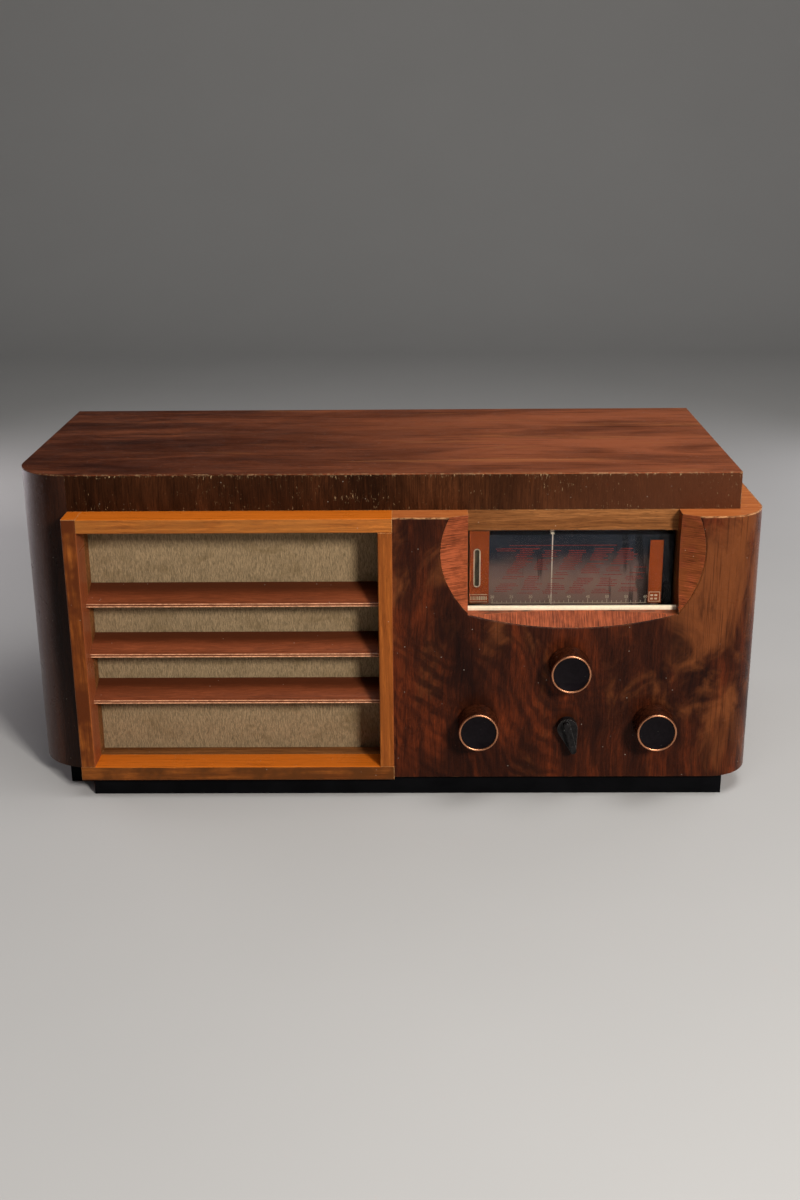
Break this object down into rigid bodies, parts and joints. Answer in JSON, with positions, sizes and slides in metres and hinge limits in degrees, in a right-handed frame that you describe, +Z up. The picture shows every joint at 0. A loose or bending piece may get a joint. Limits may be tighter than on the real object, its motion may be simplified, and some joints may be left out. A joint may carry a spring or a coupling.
{
  "type": "table radio",
  "caption": "Wooden table radio with a wrapped front panel, a scooped glass dial, a louvred speaker grille, turning knobs and a cord-driven pointer.",
  "frame": {"origin": "middle of the outline, knobs included, on the surface the radio stands on", "axes": "+X to the right seen from the front, +Y to the back, +Z up"},
  "size_m": [0.62, 0.308, 0.281],
  "materials": {
    "cabinet_veneer": "satin lacquered walnut veneer",
    "carcass_wood": "plain unfinished ply and pine",
    "panel_core": "laminated core, lacquered where it shows",
    "burr_veneer": "polished burr walnut veneer",
    "frame_wood": "honey coloured lacquer",
    "slat_wood": "copper coloured lacquer",
    "plinth_black": "black painted wood",
    "cloth": "woven, olive and beige",
    "baffle_board": "plain board",
    "hardboard": "pressed fibre board",
    "zinc_steel": "zinc plated",
    "speaker_paint": "dark grey enamel",
    "cone_paper": "felted paper",
    "knob_bakelite": "brown moulded resin",
    "knob_centre": "dark brown moulded resin",
    "black_bakelite": "black moulded resin",
    "shaft_steel": "bright turned steel",
    "laminate_board": "resin bonded paper",
    "dial_glass": "clear, printed on the back",
    "ivory_strip": "ivory",
    "indicator_glass": "amber",
    "dial_paint": "dark slate",
    "pointer_metal": "cream paint",
    "brass": "dull brass",
    "cord": "waxed braid",
    "aluminium": "dull",
    "lamp_glass": "clear",
    "chassis_plate": "cadmium grey",
    "rubber": "black",
    "valve_base": "black moulded resin",
    "valve_glass": "smoked clear",
    "transformer_steel": "black lacquered laminations"
  },
  "bodies": {
    "cabinet": {"left_side": "cabinet_veneer", "right_side": "cabinet_veneer", "top_fascia": "cabinet_veneer", "top_board": "carcass_wood", "top_veneer": "cabinet_veneer", "bottom_board": "carcass_wood", "front_board": "carcass_wood", "front_panel": "panel_core", "front_panel_veneer": "burr_veneer", "plinth": "plinth_black", "back_cover": "hardboard", "back_cover_screws": "zinc_steel", "back_cleats": "carcass_wood", "grille_stile_left": "frame_wood", "grille_stile_right": "frame_wood", "grille_rail_top": "frame_wood", "grille_rail_bottom": "frame_wood", "louvre_slat_upper": "slat_wood", "louvre_slat_middle": "slat_wood", "louvre_slat_lower": "slat_wood", "grille_cloth": "cloth", "speaker_baffle": "baffle_board", "speaker_basket": "speaker_paint", "speaker_magnet": "speaker_paint", "output_transformer": "transformer_steel", "wave_band_switch": "laminate_board", "potentiometers": "laminate_board", "dial_glass": "dial_glass", "dial_sill_strip": "ivory_strip", "tuning_indicator": "indicator_glass", "dial_frame": "chassis_plate", "dial_tray": "dial_paint", "pointer_rail": "shaft_steel", "drive_cord": "cord", "dial_lamps": "lamp_glass", "gang_frame": "aluminium", "chassis": "chassis_plate", "socket_strip": "laminate_board", "mains_inlet_grommet": "rubber", "valve_bases": "valve_base", "valve_bulbs": "valve_glass", "screening_cans": "aluminium", "power_transformer": "transformer_steel"},
    "tuning_control": {"tuning_knob": "knob_bakelite", "tuning_knob_insert": "knob_centre", "tuning_spindle": "shaft_steel"},
    "volume_control": {"volume_knob": "knob_bakelite", "volume_knob_insert": "knob_centre", "volume_shaft": "shaft_steel"},
    "tone_control": {"tone_knob": "knob_bakelite", "tone_knob_insert": "knob_centre", "tone_shaft": "shaft_steel"},
    "wave_band_control": {"wave_band_knob": "black_bakelite", "wave_band_shaft": "shaft_steel"},
    "tuning_gang": {"drive_drum": "zinc_steel", "gang_rotor": "brass"},
    "pointer": {"dial_pointer": "pointer_metal"},
    "pulley_left": {"dial_pulley_left": "brass"},
    "pulley_right": {"dial_pulley_right": "brass"},
    "cone": {"speaker_cone": "cone_paper"}
  },
  "joints": [
    {"name": "tuning_gang_turn", "type": "hinge", "parent": "cabinet", "child": "tuning_gang", "pos_m": [0.215, -0.07, 0.14], "axis": [0, 1, 0], "range_deg": [-66.28, 113.72]},
    {"name": "tuning_knob_turn", "type": "hinge", "parent": "cabinet", "child": "tuning_control", "pos_m": [0.1507, -0.1, 0.122], "axis": [0, 1, 0], "range_deg": [-666.11, 1142.99]},
    {"name": "pointer_travel", "type": "slide", "parent": "cabinet", "child": "pointer", "axis": [1, 0, 0], "range_m": [-0.0466, 0.0799]},
    {"name": "pulley_left_turn", "type": "hinge", "parent": "cabinet", "child": "pulley_left", "pos_m": [0.05, -0.071, 0.24], "axis": [0, 1, 0], "range_deg": [-403.72, 692.74]},
    {"name": "pulley_right_turn", "type": "hinge", "parent": "cabinet", "child": "pulley_right", "pos_m": [0.256, -0.071, 0.24], "axis": [0, 1, 0], "range_deg": [-403.72, 692.74]},
    {"name": "volume_turn", "type": "hinge", "parent": "cabinet", "child": "volume_control", "pos_m": [0.075, -0.1, 0.07], "axis": [0, 1, 0], "range_deg": [-150, 150]},
    {"name": "tone_turn", "type": "hinge", "parent": "cabinet", "child": "tone_control", "pos_m": [0.2235, -0.1, 0.0695], "axis": [0, 1, 0], "range_deg": [-150, 150]},
    {"name": "wave_band_turn", "type": "hinge", "parent": "cabinet", "child": "wave_band_control", "pos_m": [0.1505, -0.1, 0.067], "axis": [0, 1, 0], "range_deg": [-30, 60]},
    {"name": "cone_travel", "type": "slide", "parent": "cabinet", "child": "cone", "axis": [0, 1, 0], "range_m": [-0.001, 0.001], "stiffness_N_per_m": 2500}
  ],
  "couplings": [
    {"joint": "tuning_knob_turn", "follows": "tuning_gang_turn", "ratio": 10.05},
    {"joint": "pointer_travel", "follows": "tuning_gang_turn", "m_per_rad": 0.0402},
    {"joint": "pulley_left_turn", "follows": "tuning_gang_turn", "ratio": 6.0909},
    {"joint": "pulley_right_turn", "follows": "tuning_gang_turn", "ratio": 6.0909}
  ]
}
